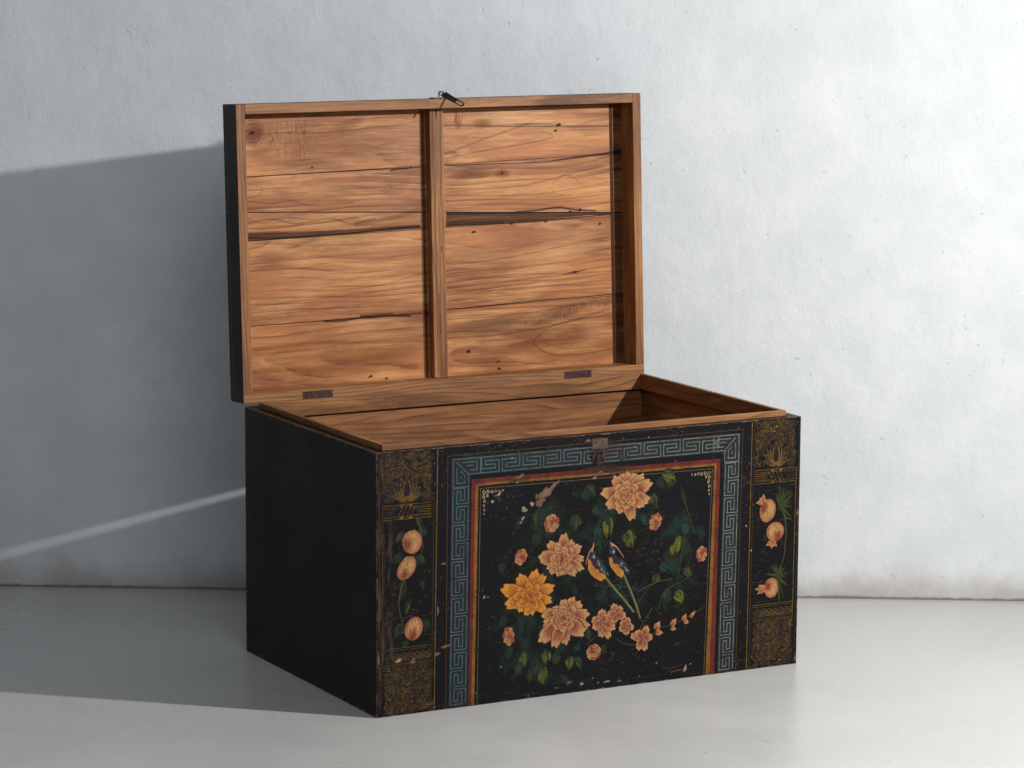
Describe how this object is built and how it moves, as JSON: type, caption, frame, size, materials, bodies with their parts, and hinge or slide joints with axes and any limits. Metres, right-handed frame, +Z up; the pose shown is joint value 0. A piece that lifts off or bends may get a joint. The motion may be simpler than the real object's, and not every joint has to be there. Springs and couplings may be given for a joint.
{
  "type": "chest",
  "caption": "Painted wooden chest with a hinged lid held open, box-jointed board walls, inner lip strips, butt hinges, and an iron hasp with a round lock plate",
  "frame": {"origin": "The middle of the case's underside", "axes": "X runs along the chest's width, Y along its depth from the painted front to the hinges, Z up"},
  "size_m": [1, 0.7633, 1.1957],
  "materials": {
    "painted_wood": "aged lacquer and oil paint over boards, worn at the edges",
    "lacquered_wood": "dark lacquer worn to brown wood at the edges",
    "bare_wood": "unfinished planed softwood, aged orange-brown",
    "iron": "hand-forged iron, dark and lightly rusted"
  },
  "bodies": {
    "case": {"front_board_1": "painted_wood", "front_board_2": "painted_wood", "front_board_3": "painted_wood", "back_board_1": "lacquered_wood", "back_board_2": "lacquered_wood", "back_board_3": "lacquered_wood", "left_board_1": "lacquered_wood", "left_board_2": "lacquered_wood", "left_board_3": "lacquered_wood", "right_board_1": "lacquered_wood", "right_board_2": "lacquered_wood", "right_board_3": "lacquered_wood", "bottom_board_1": "bare_wood", "bottom_board_2": "bare_wood", "bottom_board_3": "bare_wood", "bottom_board_4": "bare_wood", "bottom_board_5": "bare_wood", "front_lip": "bare_wood", "back_lip": "bare_wood", "left_lip": "bare_wood", "right_lip": "bare_wood", "left_hinge_case_leaf": "iron", "left_hinge_pin": "iron", "left_case_leaf_nail_1": "iron", "left_case_leaf_nail_2": "iron", "left_case_leaf_nail_3": "iron", "right_hinge_case_leaf": "iron", "right_hinge_pin": "iron", "right_case_leaf_nail_1": "iron", "right_case_leaf_nail_2": "iron", "right_case_leaf_nail_3": "iron", "lock_plate": "iron", "lock_staple": "iron", "lock_plate_nail_1": "iron", "lock_plate_nail_2": "iron"},
    "lid": {"lid_rim_front": "lacquered_wood", "lid_rim_back": "lacquered_wood", "lid_rim_left": "lacquered_wood", "lid_rim_right": "lacquered_wood", "lid_board_1": "lacquered_wood", "lid_board_2": "lacquered_wood", "lid_board_3": "lacquered_wood", "lid_board_4": "lacquered_wood", "lid_board_5": "lacquered_wood", "lid_batten": "bare_wood", "hasp_plate": "iron", "hasp_staple": "iron", "hasp_plate_nail_1": "iron", "hasp_plate_nail_2": "iron", "left_hinge_lid_leaf": "iron", "left_lid_leaf_nail_1": "iron", "left_lid_leaf_nail_2": "iron", "left_lid_leaf_nail_3": "iron", "right_hinge_lid_leaf": "iron", "right_lid_leaf_nail_1": "iron", "right_lid_leaf_nail_2": "iron", "right_lid_leaf_nail_3": "iron"},
    "hasp_ring": {"hasp_ring": "iron"},
    "hasp": {"hasp": "iron"}
  },
  "joints": [
    {"name": "lid_hinge", "type": "hinge", "parent": "case", "child": "lid", "pos_m": [0, 0.324, 0.537], "axis": [1, 0, 0], "range_deg": [0, 92.85]},
    {"name": "hasp_ring_turn", "type": "hinge", "parent": "lid", "child": "hasp_ring", "pos_m": [0.0015, 0.38292, 1.19168], "axis": [-0.3727, 0.9277, 0.0242], "range_deg": [0, 45.5]},
    {"name": "hasp_swing", "type": "hinge", "parent": "hasp_ring", "child": "hasp", "pos_m": [0.00339, 0.37293, 1.1887], "axis": [0.7381, -0.0602, 0.672], "range_deg": [-110, 0]}
  ],
  "couplings": [
    {"joint": "hasp_ring_turn", "follows": "lid_hinge", "ratio": 0.48967}
  ]
}
